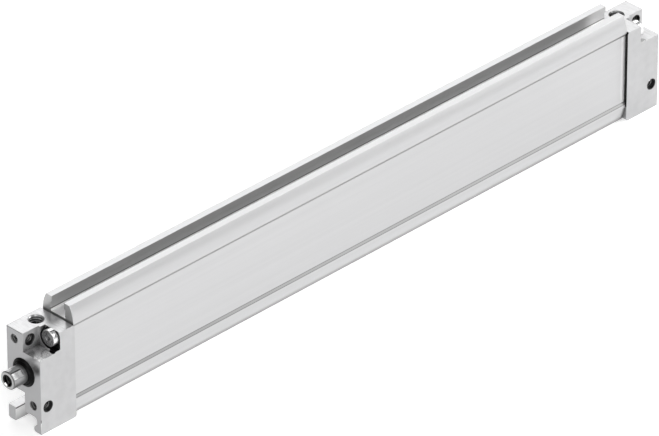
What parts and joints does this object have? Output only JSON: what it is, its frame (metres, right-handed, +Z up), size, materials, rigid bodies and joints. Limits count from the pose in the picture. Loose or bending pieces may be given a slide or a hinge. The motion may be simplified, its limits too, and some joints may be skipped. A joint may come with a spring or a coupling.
{
  "type": "flat pneumatic cylinder",
  "caption": "Flat double-acting pneumatic cylinder: extruded barrel with sensor grooves, a notched cap at each end and a short threaded rod end with wrench flats.",
  "frame": {"origin": "rod axis at the front cap's front face, midway between its two fixing holes", "axes": "+X along the rod axis from the rod end to the closed end, +Z up through the ports, -Y towards the side with the upper notches"},
  "size_m": [0.316, 0.0164, 0.0438],
  "materials": {
    "anodised_extrusion": "satin anodised extrusion",
    "machined_aluminium": "fine machined, clear anodised",
    "plated_steel": "zinc plated",
    "rod_steel": "ground and hard chromed",
    "black_rubber": "matt",
    "bumper_rubber": "matt",
    "bearing_bronze": "sintered bronze",
    "piston_plastic": "moulded acetal",
    "guide_plastic": "filled plastic",
    "magnet": "plastic-bonded magnet"
  },
  "bodies": {
    "barrel": {"barrel_profile": "anodised_extrusion", "front_cap": "machined_aluminium", "rear_cap": "machined_aluminium", "front_cap_screws": "plated_steel", "rear_cap_screws": "plated_steel", "front_cap_oring": "black_rubber", "rear_cap_oring": "black_rubber", "front_bumper": "bumper_rubber", "rear_bumper": "bumper_rubber", "rod_wiper": "black_rubber", "rod_seal_washer": "plated_steel", "rod_seal": "black_rubber", "rod_bearing": "bearing_bronze"},
    "rod": {"piston_rod": "rod_steel", "piston_front_half": "piston_plastic", "piston_rear_half": "piston_plastic", "piston_magnet": "magnet", "piston_guide_band": "guide_plastic", "piston_front_seal": "black_rubber", "piston_rear_seal": "black_rubber", "piston_rod_oring": "black_rubber", "piston_screw": "plated_steel", "piston_screw_washer": "plated_steel"}
  },
  "joints": [
    {"name": "rod_slide", "type": "slide", "parent": "barrel", "child": "rod", "axis": [-1, 0, 0], "range_m": [0, 0.25]}
  ]
}
